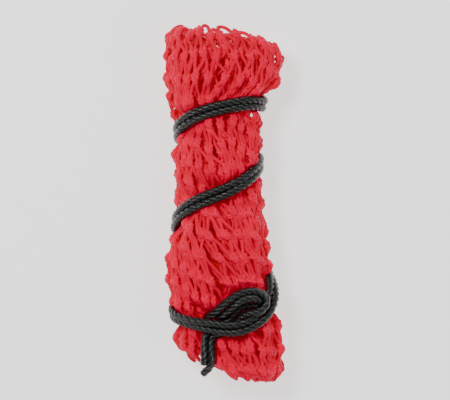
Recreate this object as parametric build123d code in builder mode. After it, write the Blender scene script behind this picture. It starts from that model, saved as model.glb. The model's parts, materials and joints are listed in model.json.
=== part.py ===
"""A small-mesh knotted net, folded into a bundle and tied round with its own drawcord.

The bundle lies on its back: +X to its right, +Y along its length to the end that fans out,
+Z up through its thickness. The origin is on the surface it lies on, under its middle.
The drawcord is one three-strand cord. Its middle is threaded through the folds, and its two
legs, a and b, wind side by side twice round the net, cross its face, pass behind and through
the folds, and come back as a slip loop whose ends hang as two short tails.
"""

import math
import os

from build123d import *

# overall sizes of the folded net, mm
bundle_length = 358.0
bundle_width = 116.0
bundle_height = 81.0

# the drawcord
cord_diameter = 7.6
cord_floor_gap = 0.15  # clear height of the cord above the surface the bundle lies on
channel_clearance = 0.35  # all round the cord, where it bites into the net
winding_lift = -0.5  # from the net's surface to the points that the cord's arcs pass inside
tip_length = 3.2
tip_diameter = 7.2
tip_rounding = 1.4

# the net's outline: share of half the length, then of the width (left, right) and of the
# height (low, high). Below zero is pressed flat by the surface underneath.
SECTIONS = [
    (-1.000, 0.12, 0.28, 0.20, 0.58),
    (-0.975, -0.07, 0.43, 0.07, 0.72),
    (-0.935, -0.24, 0.475, -0.025, 0.80),
    (-0.865, -0.345, 0.475, -0.05, 0.85),
    (-0.770, -0.405, 0.483, -0.06, 0.875),
    (-0.670, -0.43, 0.457, -0.06, 0.865),
    (-0.560, -0.457, 0.388, -0.06, 0.875),
    (-0.420, -0.49, 0.388, -0.06, 0.914),
    (-0.280, -0.483, 0.37, -0.06, 0.938),
    (-0.085, -0.44, 0.336, -0.06, 0.914),
    (0.110, -0.43, 0.31, -0.06, 0.90),
    (0.335, -0.422, 0.319, -0.06, 0.914),
    (0.475, -0.44, 0.31, -0.06, 0.90),
    (0.575, -0.474, 0.353, -0.06, 0.914),
    (0.680, -0.50, 0.466, -0.06, 0.938),
    (0.810, -0.50, 0.491, -0.06, 0.938),
    (0.895, -0.50, 0.44, -0.037, 0.889),
    (0.950, -0.483, 0.345, 0.025, 0.79),
    (0.983, -0.43, 0.207, 0.123, 0.69),
    (1.000, -0.328, 0.069, 0.247, 0.57),
]
squareness = 2.3  # exponent of the section's outline: 2 is an ellipse
outline_points = 20

# the upright planes that divide the net, two along the cord's passes over its face and one below
# its slip loop: share of half the length at the middle of the width, and slope in degrees
CROWN_PASS = (0.485, 14.0)
WAIST_PASS = (0.100, 30.0)
HITCH_PASS = (-0.770, 4.0)


def section_at(y):
    """Left, right, low and high of the net's section at y, mm."""
    share = y / (bundle_length / 2)
    for near, far in zip(SECTIONS, SECTIONS[1:]):
        if share <= far[0]:
            t = (share - near[0]) / (far[0] - near[0])
            left, right, low, high = (p + (q - p) * t for p, q in zip(near[1:], far[1:]))
            break
    return left * bundle_width, right * bundle_width, low * bundle_height, high * bundle_height


def outline_point(angle, left, right, low, high, lift=0.0):
    """A point of a section's outline: 0 degrees is the right side, 90 the face."""
    c, s = math.cos(math.radians(angle)), math.sin(math.radians(angle))
    power = 2 / squareness
    x = (left + right) / 2 + ((right - left) / 2 + lift) * math.copysign(abs(c) ** power, c)
    z = (low + high) / 2 + ((high - low) / 2 + lift) * math.copysign(abs(s) ** power, s)
    return x, z


def around(angle, y):
    """A point of a winding, at an angle round the net and a distance along it."""
    x, z = outline_point(angle, *section_at(y), lift=winding_lift)
    return (x, y, max(z, cord_diameter / 2 + cord_floor_gap))


# --- the cord's route -------------------------------------------------------------------
# the threaded middle, from the leg a side to the leg b side
MIDDLE = [(-28, 125.5, 31), (-24, 120.5, 37.5), (-24, 111.5, 37.5), (-28, 106.5, 31)]

# leg a: out of the folds to the underside
FOLD_A = [(-34, 124.5, 22), (-38.5, 122.8, 12.5), (-33, 121, 4.4), (-20, 118.3, 4)]
# two turns round the net: angle round it, distance along it
TURNS_A = [
    (268, 116), (298, 112), (328, 107), (352, 103),
    (18, 101), (45, 103), (75, 100), (105, 94), (135, 86), (162, 78),
    (188, 72), (215, 67), (245, 62), (275, 57), (305, 53), (335, 49), (358, 45),
    (20, 40), (45, 33), (75, 26), (105, 15), (135, 4), (162, -7),
    (188, -17), (215, -25), (245, -33), (275, -42), (305, -50), (335, -58),
]
# across the face from the right side to the left, and behind
STANDING_A = [
    (44, -65, 28), (45, -75, 42), (45, -86, 52), (42, -97, 59), (36.5, -107, 65.5),
    (28.5, -115.2, 69.5), (16.5, -119.8, 73), (3, -121, 74), (-10, -119.2, 73.5),
    (-24, -115.8, 71), (-37, -112, 66), (-47, -108.5, 57), (-52.5, -105.5, 44),
    (-52, -103, 29), (-45, -101, 11), (-31, -101, 4), (-18, -102, 6),
]
# up through the folds, round the slip loop and back under the standing turn
LOOP_A = [
    (-9.5, -104.5, 14), (-6, -107.5, 26), (-6, -110.5, 39), (-7, -112.8, 51),
    (-6.5, -113, 60), (-2.8, -111.5, 66), (3, -107.2, 69.5), (8.7, -102.5, 74),
    (15.5, -98, 78), (24, -95.8, 79), (30, -96.8, 77), (32.3, -99, 71.5), (30, -101.2, 66),
    (24, -101.8, 64), (17.5, -102.5, 64), (12, -106, 63.5), (6.5, -111.8, 62),
    (1.5, -117.8, 60), (-5.5, -121.8, 59.7), (-12.5, -124.7, 60),
]
TAIL_A = [
    (-18, -129, 61.5), (-21, -135, 64.5), (-22, -142, 68), (-22.3, -149.5, 69),
    (-22, -157.5, 67.5),
]

FOLD_B = [(-34, 107.5, 22), (-38.5, 109.2, 12.5), (-33, 111, 4.4), (-20, 109.2, 4)]
TURNS_B = [
    (268, 107), (298, 103), (328, 98), (352, 94),
    (18, 93), (45, 94), (75, 91), (105, 85), (135, 77), (162, 69),
    (188, 63), (215, 58), (245, 53), (275, 48), (305, 44), (335, 40), (358, 36),
    (20, 31), (45, 24), (75, 16), (105, 5), (135, -6), (162, -17),
    (188, -27), (215, -35), (245, -43), (275, -52), (305, -60), (332, -67),
]
STANDING_B = [
    (46.5, -73, 25), (50.5, -81.5, 39), (52, -90.5, 49), (50.5, -100, 56.5),
    (45, -111, 63), (35, -120.7, 68), (21, -127.8, 71.5), (6, -129.9, 72.5),
    (-9, -127.8, 72), (-24, -124.2, 69.5), (-38, -120.5, 63), (-47.5, -117, 53.5),
    (-52, -114, 40.5), (-51.5, -111.5, 26), (-44, -110, 10), (-30, -110, 4),
]
LOOP_B = [
    (-21, -111.5, 9), (-16.5, -112.5, 20), (-16.5, -113, 33), (-18, -114, 46),
    (-18, -114, 57), (-15, -112, 64), (-9.5, -108, 68.5), (-3, -101.5, 72),
    (4.5, -94.5, 75), (13, -89, 77), (23.5, -86.3, 77.5), (33.5, -87.4, 76.5),
    (39.6, -91.8, 74.5), (41.6, -98.4, 73), (38.3, -104.5, 74), (32, -107.6, 75.3),
    (25, -107.8, 72.5), (18.5, -110.8, 67.5), (13, -116, 63), (7.8, -122.6, 60.5),
    (0.6, -127.5, 60), (-6.5, -131, 60.7),
]
TAIL_B = [
    (-11.4, -135.3, 63.5), (-13.2, -141.5, 67), (-13.3, -148.5, 69.5), (-13, -155.5, 69),
    (-14, -162, 67), (-19.5, -167.5, 64),
]


def leg_route(first_points, *stretches):
    """One leg's points in order, and for each stretch the indices of its first and last run."""
    points, spans = list(first_points), []
    for more in stretches:
        first = len(points) - 1
        points += more
        spans.append((first, len(points) - 1))
    return points, spans


def corner_radii(points):
    """The arc at each corner, as large as its two runs allow."""
    radii = []
    for before, here, after in zip(points, points[1:], points[2:]):
        run_in, run_out = Vector(*here) - Vector(*before), Vector(*after) - Vector(*here)
        half_turn = math.radians(run_in.get_angle(run_out)) / 2
        radii.append(0.45 * min(run_in.length, run_out.length) / math.tan(half_turn))
    return radii


def middle_of_run(points, index):
    """Halfway along the run that starts at a point, where two solids of the cord meet."""
    return tuple((p + q) / 2 for p, q in zip(points[index], points[index + 1]))


def tube(corners, radii, diameter):
    """A round solid along straight runs joined by tangent arcs."""
    with BuildPart() as solid:
        with BuildLine():
            route = FilletPolyline(*corners, radius=radii)
        with BuildSketch(Plane(origin=route @ 0, z_dir=route % 0)):
            Circle(diameter / 2)
        sweep(path=route)
    return solid.part, route.length


def cord_piece(name, corners, radii):
    """A stretch of the cord, and the channel that it presses into the net."""
    piece, length = tube(corners, radii, cord_diameter)
    channel, _ = tube(corners, radii, cord_diameter + 2 * channel_clearance)
    piece.label = name
    filled = piece.volume / (math.pi * cord_diameter**2 / 4 * length)
    print(f"{name}: length {length:.0f}, volume {filled:.4f} of section times length")
    print("  radii", " ".join(f"{radius:.0f}" for radius in radii))
    return piece, channel


def melted_tip(name, points):
    """The fused end of a tail, a short rounded stub on the tail's end face, and its channel."""
    end = Vector(*points[-1])
    outward = end - Vector(*points[-2])
    with BuildPart() as tip:
        with BuildSketch(Plane(origin=end, z_dir=outward)):
            Circle(tip_diameter / 2)
        extrude(amount=tip_length)
        rim = tip.edges().filter_by(GeomType.CIRCLE).sort_by(Axis(end, outward))[-1]
        fillet(rim, radius=tip_rounding)
    with BuildPart() as channel:
        with BuildSketch(Plane(origin=end, z_dir=outward)):
            Circle(tip_diameter / 2 + channel_clearance)
        extrude(amount=tip_length + channel_clearance)
    tip.part.label = name
    return tip.part, channel.part


# --- the drawcord ------------------------------------------------------------------------
STRETCH_NAMES = ("windings", "standing_turn", "slip_loop", "tail")
pieces = []
channels = []

middle_points = [FOLD_A[0], *MIDDLE, FOLD_B[0]]
middle_corners = [
    middle_of_run(middle_points, 0),
    *MIDDLE,
    middle_of_run(middle_points, len(MIDDLE)),
]
piece, channel = cord_piece("cord_middle_bend", middle_corners, corner_radii(middle_points))
pieces.append(piece)
channels.append(channel)

for leg, first_points, stretches in (
    ("a", MIDDLE[1::-1], (FOLD_A + [around(*turn) for turn in TURNS_A], STANDING_A, LOOP_A, TAIL_A)),
    ("b", MIDDLE[2:], (FOLD_B + [around(*turn) for turn in TURNS_B], STANDING_B, LOOP_B, TAIL_B)),
):
    points, spans = leg_route(first_points, *stretches)
    radii = corner_radii(points)
    for stretch_name, (first, last) in zip(STRETCH_NAMES, spans):
        is_tail = stretch_name == STRETCH_NAMES[-1]
        far_end = points[-1] if is_tail else middle_of_run(points, last)
        corners_end = last if is_tail else last + 1
        corners = [middle_of_run(points, first), *points[first + 1 : corners_end], far_end]
        piece, channel = cord_piece(
            f"cord_{leg}_{stretch_name}", corners, radii[first : corners_end - 1]
        )
        pieces.append(piece)
        channels.append(channel)
    piece, channel = melted_tip(f"cord_{leg}_melted_tip", points)
    pieces.append(piece)
    channels.append(channel)

# --- the net -------------------------------------------------------------------------------
# the whole folded net, flat where it lies on the surface, with the cord pressed into it
with BuildPart() as folded_net:
    for share, left, right, low, high in SECTIONS:
        y = share * bundle_length / 2
        size = section_at(y)
        with BuildSketch(Plane.XZ.offset(-y)):
            with BuildLine():
                step = 360 / outline_points
                Spline([outline_point(step * i, *size) for i in range(outline_points)], periodic=True)
            make_face()
    loft()
    split(bisect_by=Plane.XY, keep=Keep.TOP)
    for channel in channels:
        add(channel, mode=Mode.SUBTRACT)


def pass_plane(share, slope):
    """The upright plane along a pass of the cord over the face, facing the fanned end."""
    slope = math.radians(slope)
    return Plane(
        origin=(0, share * bundle_length / 2, 0),
        x_dir=(math.cos(slope), math.sin(slope), 0),
        z_dir=(-math.sin(slope), math.cos(slope), 0),
    )


with BuildPart() as net_top_tuft:
    add(folded_net.part)
    split(bisect_by=pass_plane(*CROWN_PASS), keep=Keep.TOP)
net_top_tuft.part.label = "net_top_tuft"

with BuildPart() as net_upper_barrel:
    add(folded_net.part)
    split(bisect_by=pass_plane(*CROWN_PASS), keep=Keep.BOTTOM)
    split(bisect_by=pass_plane(*WAIST_PASS), keep=Keep.TOP)
net_upper_barrel.part.label = "net_upper_barrel"

with BuildPart() as net_lower_barrel:
    add(folded_net.part)
    split(bisect_by=pass_plane(*WAIST_PASS), keep=Keep.BOTTOM)
    split(bisect_by=pass_plane(*HITCH_PASS), keep=Keep.TOP)
net_lower_barrel.part.label = "net_lower_barrel"

with BuildPart() as net_bottom_tuft:
    add(folded_net.part)
    split(bisect_by=pass_plane(*HITCH_PASS), keep=Keep.BOTTOM)
net_bottom_tuft.part.label = "net_bottom_tuft"

pieces += [net_top_tuft.part, net_upper_barrel.part, net_lower_barrel.part, net_bottom_tuft.part]

os.makedirs("parts", exist_ok=True)
for piece in pieces:
    export_step(piece, f"parts/{piece.label}.step")
    box = piece.bounding_box()
    print(f"{piece.label}: {len(piece.solids())} solid, {piece.volume / 1000:.1f} cm3, "
          f"z {box.min.Z:.2f} to {box.max.Z:.2f}")
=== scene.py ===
"""A small-mesh knotted net, folded into a bundle and tied round with its own drawcord.

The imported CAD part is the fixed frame: metres, +X to the bundle's right, +Y along its length to
the end that fans out, +Z up from the surface that it lies on. The drawcord is made first, as two
legs of three-strand cord. The net follows as layers of real netting, knotted row by row and
pressed down under the cord.
"""

import json
import logging
import math
from dataclasses import dataclass, field
from enum import Enum

import bpy
import numpy as np
from mathutils import Euler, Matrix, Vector
from mathutils.kdtree import KDTree

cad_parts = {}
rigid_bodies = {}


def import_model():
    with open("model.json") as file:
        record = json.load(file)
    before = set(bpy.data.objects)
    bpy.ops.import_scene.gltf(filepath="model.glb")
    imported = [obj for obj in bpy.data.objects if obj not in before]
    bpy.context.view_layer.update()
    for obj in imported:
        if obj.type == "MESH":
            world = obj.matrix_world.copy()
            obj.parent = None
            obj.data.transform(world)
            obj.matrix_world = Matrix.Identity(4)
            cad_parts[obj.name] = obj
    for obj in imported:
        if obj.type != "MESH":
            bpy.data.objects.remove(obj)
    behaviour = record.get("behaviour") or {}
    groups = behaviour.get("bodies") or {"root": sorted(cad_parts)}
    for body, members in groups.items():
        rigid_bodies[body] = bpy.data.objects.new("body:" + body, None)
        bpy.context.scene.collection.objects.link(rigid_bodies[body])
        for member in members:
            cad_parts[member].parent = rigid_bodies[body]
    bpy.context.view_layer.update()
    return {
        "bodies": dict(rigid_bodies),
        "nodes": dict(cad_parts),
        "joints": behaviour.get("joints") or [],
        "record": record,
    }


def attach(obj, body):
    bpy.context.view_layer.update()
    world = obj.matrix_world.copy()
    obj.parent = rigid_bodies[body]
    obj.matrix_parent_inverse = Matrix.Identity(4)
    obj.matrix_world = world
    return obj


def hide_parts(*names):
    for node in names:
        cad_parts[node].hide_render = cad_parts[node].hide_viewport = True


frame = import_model()

LOG = logging.getLogger("bundled_net")
Points = np.ndarray


# --- the bundle's form -------------------------------------------------------------------------
@dataclass(frozen=True)
class BundleForm:
    """The outline of the folded net: flattened round sections along +Y.

    Attributes:
        length: overall length, m.
        width: overall width, m.
        height: overall height, m.
        squareness: exponent of a section's outline, where 2 is an ellipse.
        sections: share of half the length, then of the width (left, right) and of the height
            (low, high).
        pass_shares: share of half the length, at the middle of the width, where the CAD part
            divides the net.
    """

    length: float = 0.358
    width: float = 0.116
    height: float = 0.081
    squareness: float = 2.3
    sections: tuple = (
        (-1.000, 0.12, 0.28, 0.20, 0.58),
        (-0.975, -0.07, 0.43, 0.07, 0.72),
        (-0.935, -0.24, 0.475, -0.025, 0.80),
        (-0.865, -0.345, 0.475, -0.05, 0.85),
        (-0.770, -0.405, 0.483, -0.06, 0.875),
        (-0.670, -0.43, 0.457, -0.06, 0.865),
        (-0.560, -0.457, 0.388, -0.06, 0.875),
        (-0.420, -0.49, 0.388, -0.06, 0.914),
        (-0.280, -0.483, 0.37, -0.06, 0.938),
        (-0.085, -0.44, 0.336, -0.06, 0.914),
        (0.110, -0.43, 0.31, -0.06, 0.90),
        (0.335, -0.422, 0.319, -0.06, 0.914),
        (0.475, -0.44, 0.31, -0.06, 0.90),
        (0.575, -0.474, 0.353, -0.06, 0.914),
        (0.680, -0.50, 0.466, -0.06, 0.938),
        (0.810, -0.50, 0.491, -0.06, 0.938),
        (0.895, -0.50, 0.44, -0.037, 0.889),
        (0.950, -0.483, 0.345, 0.025, 0.79),
        (0.983, -0.43, 0.207, 0.123, 0.69),
        (1.000, -0.328, 0.069, 0.247, 0.57),
    )
    pass_shares: tuple = (0.485, 0.100, -0.770)

    def section(self, y: Points) -> tuple:
        """The section at y.

        Args:
            y: distances along the bundle, m.

        Returns:
            Left, right, low and high of the section, m.
        """
        table = np.array(self.sections)
        share = np.asarray(y) / (self.length / 2)
        sizes = (self.width, self.width, self.height, self.height)
        return tuple(
            np.interp(share, table[:, 0], table[:, column + 1]) * size
            for column, size in enumerate(sizes)
        )

    def surface(self, angle: Points, y: Points) -> Points:
        """Points of the outline.

        Args:
            angle: angle round the bundle, radians: 0 is its right side, a quarter turn its face.
            y: distance along the bundle, m.

        Returns:
            One point for each angle and distance.
        """
        left, right, low, high = self.section(y)
        c, s = np.cos(angle), np.sin(angle)
        power = 2 / self.squareness
        x = (left + right) / 2 + (right - left) / 2 * np.copysign(np.abs(c) ** power, c)
        z = (low + high) / 2 + (high - low) / 2 * np.copysign(np.abs(s) ** power, s)
        return np.stack([x, np.broadcast_to(y, x.shape), z], axis=-1)

    def outward(self, angle: Points, y: Points) -> Points:
        """Unit vectors that look out of the bundle at the points of surface().

        Args:
            angle: angle round the bundle, radians.
            y: distance along the bundle, m.

        Returns:
            One unit vector for each angle and distance.
        """
        turn, reach = 0.06, 0.004
        round_it = self.surface(angle + turn, y) - self.surface(angle - turn, y)
        along_it = self.surface(angle, y + reach) - self.surface(angle, y - reach)
        return unit(np.cross(along_it, round_it))


def unit(vectors: Points) -> Points:
    """The vectors at length 1."""
    lengths = np.linalg.norm(vectors, axis=-1, keepdims=True)
    return vectors / np.maximum(lengths, 1e-12)


def smooth_step(value: Points, start: float, end: float) -> Points:
    """0 before start, 1 after end, and a smooth rise between them.

    Args:
        value: what is compared with start and end.
        start: where the rise starts.
        end: where the rise ends.

    Returns:
        The share risen, from 0 to 1.
    """
    t = np.clip((value - start) / (end - start), 0.0, 1.0)
    return t * t * (3.0 - 2.0 * t)


# --- lines and round meshes --------------------------------------------------------------------
def through(points: Points, per_run: int, closed: bool) -> Points:
    """A smooth line through every point.

    Args:
        points: the points that it passes through.
        per_run: steps from one point to the next.
        closed: whether it returns to its first point.

    Returns:
        The line's points.
    """
    if closed:
        before, start = np.roll(points, 1, 0), points
        end, after = np.roll(points, -1, 0), np.roll(points, -2, 0)
    else:
        padded = np.concatenate([2 * points[:1] - points[1:2], points, 2 * points[-1:] - points[-2:-1]])
        before, start, end, after = padded[:-3], padded[1:-2], padded[2:-1], padded[3:]
    t = (np.arange(per_run) / per_run)[None, :, None]
    before, start, end, after = (p[:, None, :] for p in (before, start, end, after))
    line = 0.5 * (
        2 * start
        + (end - before) * t
        + (2 * before - 5 * start + 4 * end - after) * t**2
        + (3 * start - before - 3 * end + after) * t**3
    )
    line = line.reshape(-1, 3)
    return line if closed else np.concatenate([line, points[-1:]])


def distance_along(line: Points, closed: bool) -> Points:
    """How far each point is along the line; a closed line gets its whole length as well.

    Args:
        line: the line's points.
        closed: whether it returns to its first point.

    Returns:
        Distances, m.
    """
    ring = np.concatenate([line, line[:1]]) if closed else line
    return np.concatenate([[0.0], np.cumsum(np.linalg.norm(np.diff(ring, axis=0), axis=1))])


def evenly(line: Points, step: float, closed: bool) -> Points:
    """The line again, with evenly spaced points.

    Args:
        line: the line's points.
        step: the spacing, m.
        closed: whether it returns to its first point.

    Returns:
        The new points.
    """
    ring = np.concatenate([line, line[:1]]) if closed else line
    along = distance_along(line, closed)
    count = max(4, int(round(along[-1] / step)))
    places = np.linspace(0.0, along[-1], count, endpoint=not closed)
    return np.stack([np.interp(places, along, ring[:, axis]) for axis in range(3)], axis=-1)


def carried_frames(line: Points, closed: bool) -> tuple:
    """Two unit vectors across the line at each point, carried along it without twist.

    Args:
        line: the line's points.
        closed: whether it returns to its first point.

    Returns:
        The first and the second vector at each point.
    """
    if closed:
        tangents = unit(np.roll(line, -1, 0) - np.roll(line, 1, 0))
    else:
        tangents = unit(np.gradient(line, axis=0))
    start = Vector(tangents[0]).orthogonal().normalized()
    side, sides = start, []
    for tangent in map(Vector, tangents):
        side = (side - tangent * side.dot(tangent)).normalized()
        sides.append(side)
    firsts = np.array(sides)
    seconds = np.cross(tangents, firsts)
    if closed:
        last = (side - Vector(tangents[0]) * side.dot(Vector(tangents[0]))).normalized()
        left_over = math.atan2(last.dot(Vector(seconds[0])), last.dot(Vector(firsts[0])))
        turn = -left_over * np.arange(len(line))[:, None] / len(line)
        firsts, seconds = (
            firsts * np.cos(turn) + seconds * np.sin(turn),
            seconds * np.cos(turn) - firsts * np.sin(turn),
        )
    return firsts, seconds


class RoundMesh:
    """Gathers the round tubes of one piece, and makes them one mesh.

    Its map runs along each tube in hundredths of a metre and once round it, and its attribute
    "tone" is a number from 0 to 1 that shifts the colour.
    """

    MAP_UNIT = 0.01

    def __init__(self) -> None:
        """Starts with no tubes."""
        self.vertices: list = []
        self.faces: list = []
        self.corners: list = []
        self.tones: list = []
        self.count = 0

    def add_rings(self, rings: Points, along: Points, tone: Points, closed: bool) -> None:
        """Adds one tube, with a fan over each open end.

        Args:
            rings: points by ring and by place round the ring.
            along: distance of each ring along the tube, m; a closed tube has one more.
            tone: the colour shift of each ring.
            closed: whether the last ring joins the first.
        """
        count, sides = rings.shape[:2]
        here = np.arange(count if closed else count - 1)[:, None]
        ahead = (here + 1) % count
        place = np.arange(sides)[None, :]
        beside = (place + 1) % sides
        quads = np.stack(
            [here * sides + place, here * sides + beside, ahead * sides + beside, ahead * sides + place],
            axis=-1,
        ).reshape(-1, 4)
        u = np.asarray(along) / self.MAP_UNIT
        u_here, u_ahead = np.broadcast_arrays(u[here], place)[0], np.broadcast_arrays(u[here + 1], place)[0]
        v_here = np.broadcast_to(place / sides, u_here.shape)
        v_next = v_here + 1 / sides
        corners = np.stack(
            [
                np.stack([u_here, v_here], -1),
                np.stack([u_here, v_next], -1),
                np.stack([u_ahead, v_next], -1),
                np.stack([u_ahead, v_here], -1),
            ],
            axis=2,
        ).reshape(-1, 2)
        self.vertices.append(rings.reshape(-1, 3))
        self.tones.append(np.repeat(tone, sides))
        self.faces.extend((quads + self.count).tolist())
        self.corners.append(corners)
        self.count += count * sides
        if not closed:
            for ring, order in ((0, -1), (count - 1, 1)):
                edge = np.arange(sides) + self.count - count * sides - (ring > 0) + ring * sides
                self._add_fan(edge, rings[ring].mean(0), order, float(u[ring]), float(tone[ring]))

    def _add_fan(self, edge: Points, centre: Points, order: int, u: float, tone: float) -> None:
        """Closes one end of a tube.

        Args:
            edge: numbers of the points round the end.
            centre: the end's middle.
            order: 1 where the fan looks along the tube, -1 where it looks back.
            u: the map's place along the tube.
            tone: the colour shift.
        """
        self.vertices.append(centre[None, :])
        self.tones.append(np.array([tone]))
        self.faces.extend(
            [int(a), int(b), self.count] if order > 0 else [int(b), int(a), self.count]
            for a, b in zip(edge, np.roll(edge, -1))
        )
        self.corners.append(np.tile([u, 0.5], (3 * len(edge), 1)))
        self.count += 1

    def add_tube(
        self, line: Points, radius: float, sides: int, closed: bool, tone: Points
    ) -> None:
        """Adds a round tube along a line.

        Args:
            line: the line's points, evenly spaced.
            radius: the tube's radius, m.
            sides: points round it.
            closed: whether the line returns to its first point.
            tone: the colour shift of each point.
        """
        first, second = carried_frames(line, closed)
        turn = (2 * math.pi * np.arange(sides) / sides)[None, :, None]
        rings = line[:, None, :] + radius * (
            first[:, None, :] * np.cos(turn) + second[:, None, :] * np.sin(turn)
        )
        self.add_rings(rings, distance_along(line, closed), tone, closed)

    def make(self, name: str, finish: bpy.types.Material) -> bpy.types.Object:
        """Makes the mesh and its object.

        Args:
            name: the piece's name.
            finish: its material.

        Returns:
            The new object.
        """
        mesh = bpy.data.meshes.new(name)
        mesh.from_pydata(np.concatenate(self.vertices).tolist(), [], self.faces)
        layer = mesh.uv_layers.new(name="along_and_round")
        layer.data.foreach_set("uv", np.concatenate(self.corners).astype(np.float32).ravel())
        tone = mesh.attributes.new("tone", "FLOAT", "POINT")
        tone.data.foreach_set("value", np.concatenate(self.tones).astype(np.float32))
        mesh.shade_smooth()
        mesh.validate()
        mesh.materials.append(finish)
        piece = bpy.data.objects.new(name, mesh)
        bpy.context.scene.collection.objects.link(piece)
        return piece


# --- shader maths ------------------------------------------------------------------------------
class Wire:
    """A node's output, on which + - * add Math nodes."""

    def __init__(self, tree: bpy.types.NodeTree, socket: bpy.types.NodeSocket) -> None:
        """Keeps the tree and the socket."""
        self.tree, self.socket = tree, socket

    def _math(self, operation: str, *values: object) -> "Wire":
        """Adds one Math node.

        Args:
            operation: the node's operation.
            values: numbers or wires for its inputs.

        Returns:
            Its output.
        """
        return add_node(self.tree, "ShaderNodeMath", {"operation": operation}, dict(enumerate(values)))

    def __add__(self, other: object) -> "Wire":
        """self + other."""
        return self._math("ADD", self, other)

    __radd__ = __add__

    def __sub__(self, other: object) -> "Wire":
        """self - other."""
        return self._math("SUBTRACT", self, other)

    def __rsub__(self, other: object) -> "Wire":
        """other - self."""
        return self._math("SUBTRACT", other, self)

    def __mul__(self, other: object) -> "Wire":
        """self * other."""
        return self._math("MULTIPLY", self, other)

    __rmul__ = __mul__

    def sine(self) -> "Wire":
        """The sine of an angle in radians."""
        return self._math("SINE", self)


def add_node(tree: bpy.types.NodeTree, kind: str, settings: dict, inputs: dict, output: object = 0) -> Wire:
    """Adds any node.

    Args:
        tree: the material's node tree.
        kind: the node's type.
        settings: its properties; "stops" sets a colour ramp's stops.
        inputs: a value or a wire for each input, by name or number.
        output: name or number of the output that is returned.

    Returns:
        That output.
    """
    node = tree.nodes.new(kind)
    for name, value in settings.items():
        if name == "stops":
            ramp = node.color_ramp
            while len(ramp.elements) < len(value):
                ramp.elements.new(0.5)
            for stop, (position, colour) in zip(ramp.elements, value):
                stop.position, stop.color = position, colour
        else:
            setattr(node, name, value)
    for name, value in inputs.items():
        if isinstance(value, Wire):
            tree.links.new(value.socket, node.inputs[name])
        else:
            node.inputs[name].default_value = value
    return Wire(tree, node.outputs[output])


@dataclass(frozen=True)
class Finish:
    """What every finish shares.

    Attributes:
        name: the material's name.
        dark: linear colour of its darker stretches.
        light: linear colour of its lighter stretches.
        roughness: roughness at its smoothest.
        roughness_spread: how much rougher it gets.
        relief: height of its finest relief, m.
    """

    name: str
    dark: tuple
    light: tuple
    roughness: float
    roughness_spread: float
    relief: float

    def material(self) -> bpy.types.Material:
        """Makes the material.

        Returns:
            The new material.
        """
        material = bpy.data.materials.new(self.name)
        material.use_nodes = True
        tree = material.node_tree
        shader = next(n for n in tree.nodes if n.type == "BSDF_PRINCIPLED")
        self.dress(tree, shader)
        return material

    def dress(self, tree: bpy.types.NodeTree, shader: bpy.types.Node) -> None:
        """Fills in the shader.

        Args:
            tree: the material's node tree.
            shader: its Principled shader.
        """
        raise NotImplementedError

    @staticmethod
    def shine(shader: bpy.types.Node, colour: tuple, strength: float) -> None:
        """Gives the surface a light of its own.

        Args:
            shader: the material's Principled shader.
            colour: linear colour of the light.
            strength: strength of the light.
        """
        shader.inputs["Emission Color"].default_value = (*colour, 1.0)
        shader.inputs["Emission Strength"].default_value = strength

    def colour_between(self, tree: bpy.types.NodeTree, share: Wire) -> Wire:
        """The colour a share of the way from dark to light.

        Args:
            tree: the material's node tree.
            share: 0 for dark, 1 for light.

        Returns:
            The colour.
        """
        return add_node(
            tree,
            "ShaderNodeMix",
            {"data_type": "RGBA", "clamp_factor": True},
            {0: share, 6: (*self.dark, 1.0), 7: (*self.light, 1.0)},
            2,
        )

    def join(
        self,
        tree: bpy.types.NodeTree,
        shader: bpy.types.Node,
        colour: Wire,
        rough: Wire,
        height: Wire,
    ) -> None:
        """Links colour, roughness and relief to the shader.

        Args:
            tree: the material's node tree.
            shader: its Principled shader.
            colour: the base colour.
            rough: 0 for the smoothest, 1 for the roughest.
            height: relief, from 0 to 1.
        """
        bump = add_node(
            tree, "ShaderNodeBump", {}, {"Strength": 1.0, "Distance": self.relief, "Height": height}
        )
        tree.links.new(colour.socket, shader.inputs["Base Color"])
        tree.links.new((self.roughness + self.roughness_spread * rough).socket, shader.inputs["Roughness"])
        tree.links.new(bump.socket, shader.inputs["Normal"])


def map_parts(tree: bpy.types.NodeTree) -> tuple:
    """The place along and round a tube, from its map.

    Args:
        tree: the material's node tree.

    Returns:
        Along, in hundredths of a metre, and round, in turns.
    """
    place = add_node(tree, "ShaderNodeUVMap", {"uv_map": "along_and_round"}, {})
    along = add_node(tree, "ShaderNodeSeparateXYZ", {}, {0: place}, "X")
    return along, Wire(tree, along.socket.node.outputs["Y"])


def stretched_noise(tree: bpy.types.NodeTree, x: object, y: object, scale: float, detail: float) -> Wire:
    """Noise over two values.

    Args:
        tree: the material's node tree.
        x: the first value.
        y: the second value.
        scale: how fine the noise is.
        detail: its finer octaves.

    Returns:
        Noise from 0 to 1.
    """
    place = add_node(tree, "ShaderNodeCombineXYZ", {}, {0: x, 1: y})
    inputs = {"Vector": place, "Scale": scale, "Detail": detail}
    return add_node(tree, "ShaderNodeTexNoise", {"noise_dimensions": "3D"}, inputs)


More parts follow.
